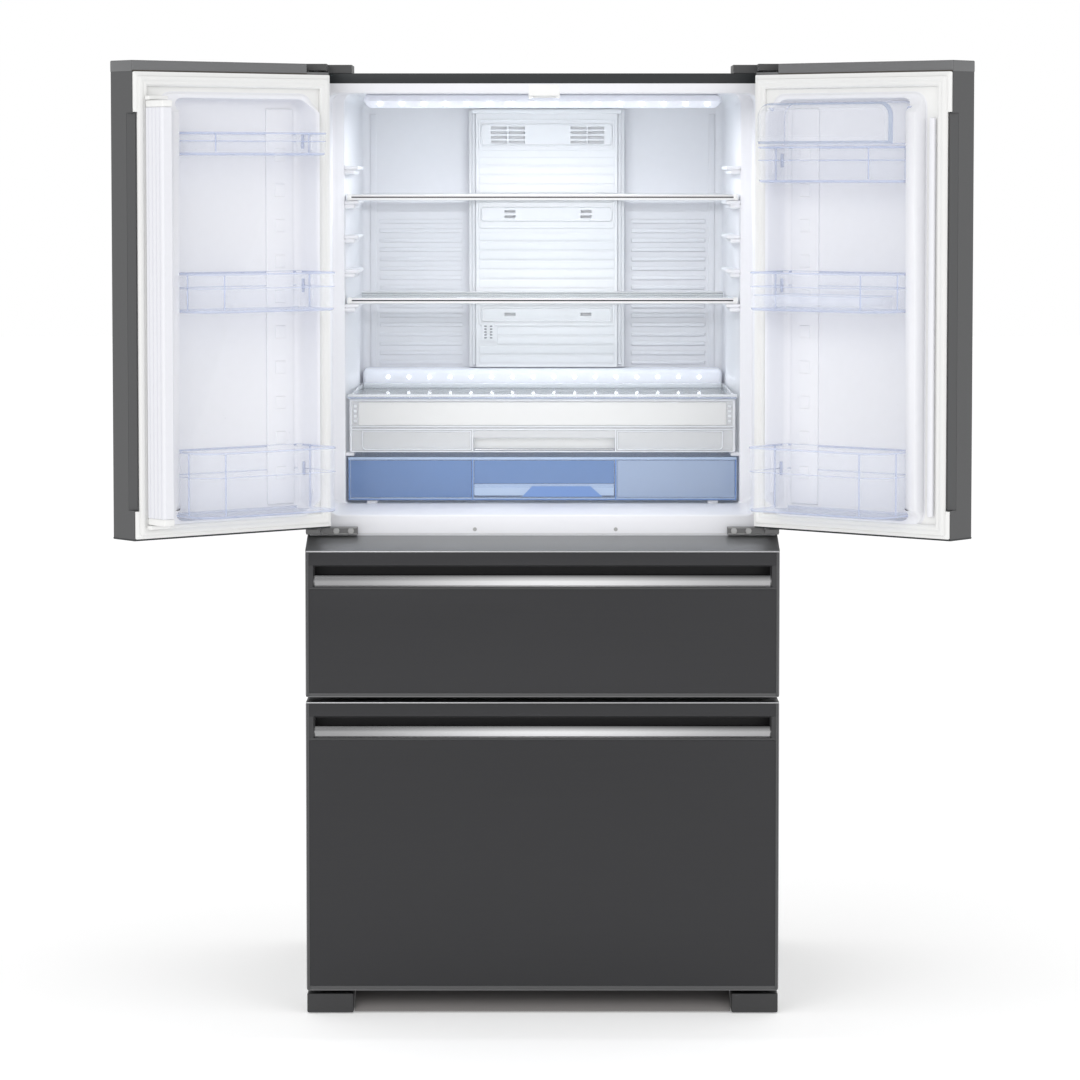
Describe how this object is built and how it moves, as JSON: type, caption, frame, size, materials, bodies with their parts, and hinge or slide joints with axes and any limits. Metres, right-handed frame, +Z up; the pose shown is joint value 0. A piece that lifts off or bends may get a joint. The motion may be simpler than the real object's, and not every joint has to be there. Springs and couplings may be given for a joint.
{
  "type": "french door refrigerator",
  "caption": "French door refrigerator standing open: two hinged doors with racks over two full-width drawers, glass shelves, sliding cases and the cooling system inside.",
  "frame": {"origin": "floor level, at the centre of the box round the object with both doors open", "axes": "+Z up, fronts face -Y, +X to the right seen from the front"},
  "size_m": [1.4732, 1.016, 1.689],
  "materials": {
    "graphite_steel": "satin graphite paint",
    "drawer_steel": "satin, finely brushed",
    "dark_plastic": "moulded",
    "kick_grey": "moulded",
    "liner_white": "vacuum-formed, satin gloss",
    "seal_white": "soft magnetic seal",
    "light_cover": "frosted",
    "clear_plastic": "clear moulded plastic",
    "blue_plastic": "tinted moulded plastic",
    "shelf_glass": "tempered glass",
    "bright_metal": "brushed, bright",
    "zinc_steel": "zinc plated",
    "foam": "rigid foam",
    "black_enamel": "black enamel",
    "aluminium_fins": "mill",
    "black_plastic": "moulded"
  },
  "bodies": {
    "cabinet": {"cabinet_shell": "graphite_steel", "rear_panel": "zinc_steel", "insulation_panels": "foam", "fridge_liner": "liner_white", "drawer_liners": "liner_white", "air_duct_cover": "liner_white", "sensor_cover": "liner_white", "compartment_lights": "light_cover", "flap_guide": "light_cover", "door_hinges": "zinc_steel", "hinge_covers": "dark_plastic", "hinge_screws": "zinc_steel", "shelf_glass_panes": "shelf_glass", "shelf_trims": "bright_metal", "crisper_cover": "shelf_glass", "cabinet_slides": "zinc_steel", "foot_covers": "graphite_steel", "kick_plate": "kick_grey", "base_tray": "zinc_steel", "compressor": "black_enamel", "condenser_coil": "black_enamel", "condenser_fan_shroud": "dark_plastic", "drip_tray": "dark_plastic", "evaporator": "aluminium_fins", "evaporator_fan_shroud": "liner_white", "control_board_box": "light_cover", "machine_cover": "dark_plastic", "power_inlet": "black_plastic"},
    "chilled_case": {"chilled_case": "clear_plastic"},
    "cooling_case": {"cooling_case": "blue_plastic"},
    "evaporator_fan": {"evaporator_fan": "liner_white"},
    "condenser_fan": {"condenser_fan": "black_plastic"},
    "left_leg": {"left_levelling_leg": "black_plastic"},
    "right_leg": {"right_levelling_leg": "black_plastic"},
    "rear_rollers": {"rear_rollers": "black_plastic"},
    "left_door": {"left_door_skin": "graphite_steel", "left_door_liner": "liner_white", "left_door_gasket": "seal_white", "left_upper_rack": "clear_plastic", "left_middle_rack": "clear_plastic", "left_lower_rack": "clear_plastic"},
    "mullion_flap": {"mullion_flap": "liner_white"},
    "right_door": {"right_door_skin": "graphite_steel", "right_door_liner": "liner_white", "right_door_gasket": "seal_white", "right_upper_rack": "clear_plastic", "right_middle_rack": "clear_plastic", "right_lower_rack": "clear_plastic", "egg_tray": "clear_plastic"},
    "rack_cover": {"rack_cover": "clear_plastic"},
    "upper_drawer": {"upper_drawer_front": "drawer_steel", "upper_drawer_handle": "bright_metal", "upper_drawer_bin": "clear_plastic", "upper_drawer_gasket": "seal_white"},
    "lower_drawer": {"lower_drawer_front": "drawer_steel", "lower_drawer_handle": "bright_metal", "lower_drawer_bin": "clear_plastic", "lower_drawer_gasket": "seal_white"},
    "freezer_tray": {"freezer_tray": "clear_plastic"}
  },
  "joints": [
    {"name": "left_door_swing", "type": "hinge", "parent": "cabinet", "child": "left_door", "pos_m": [-0.408, -0.182, 1.27], "axis": [0, 0, 1], "range_deg": [0, 140]},
    {"name": "right_door_swing", "type": "hinge", "parent": "cabinet", "child": "right_door", "pos_m": [0.408, -0.182, 1.27], "axis": [0, 0, -1], "range_deg": [0, 140]},
    {"name": "mullion_flap_fold", "type": "hinge", "parent": "left_door", "child": "mullion_flap", "pos_m": [-0.66604, -0.47032, 1.26], "axis": [0, 0, -1], "range_deg": [0, 90]},
    {"name": "rack_cover_lift", "type": "hinge", "parent": "right_door", "child": "rack_cover", "pos_m": [0.51474, -0.34727, 1.608], "axis": [0.766, -0.6428, 0], "range_deg": [-75, 0]},
    {"name": "chilled_case_slide", "type": "slide", "parent": "cabinet", "child": "chilled_case", "axis": [0, 1, 0], "range_m": [-0.3, 0]},
    {"name": "cooling_case_slide", "type": "slide", "parent": "cabinet", "child": "cooling_case", "axis": [0, 1, 0], "range_m": [-0.3, 0]},
    {"name": "upper_drawer_slide", "type": "slide", "parent": "cabinet", "child": "upper_drawer", "axis": [0, 1, 0], "range_m": [-0.42, 0]},
    {"name": "lower_drawer_slide", "type": "slide", "parent": "cabinet", "child": "lower_drawer", "axis": [0, 1, 0], "range_m": [-0.44, 0]},
    {"name": "freezer_tray_slide", "type": "slide", "parent": "lower_drawer", "child": "freezer_tray", "axis": [0, 1, 0], "range_m": [0, 0.25]},
    {"name": "evaporator_fan_spin", "type": "hinge", "parent": "cabinet", "child": "evaporator_fan", "pos_m": [0.008, 0.468, 0.6], "axis": [0, 1, 0], "continuous": true},
    {"name": "condenser_fan_spin", "type": "hinge", "parent": "cabinet", "child": "condenser_fan", "pos_m": [0.022, 0.398, 0.15], "axis": [1, 0, 0], "continuous": true},
    {"name": "left_leg_turn", "type": "hinge", "parent": "cabinet", "child": "left_leg", "pos_m": [-0.378, -0.166, 0.02], "axis": [0, 0, 1], "range_deg": [-720, 720]},
    {"name": "right_leg_turn", "type": "hinge", "parent": "cabinet", "child": "right_leg", "pos_m": [0.378, -0.166, 0.02], "axis": [0, 0, 1], "range_deg": [-720, 720]},
    {"name": "rear_roller_spin", "type": "hinge", "parent": "cabinet", "child": "rear_rollers", "pos_m": [0, 0.448, 0.02], "axis": [1, 0, 0], "continuous": true}
  ]
}
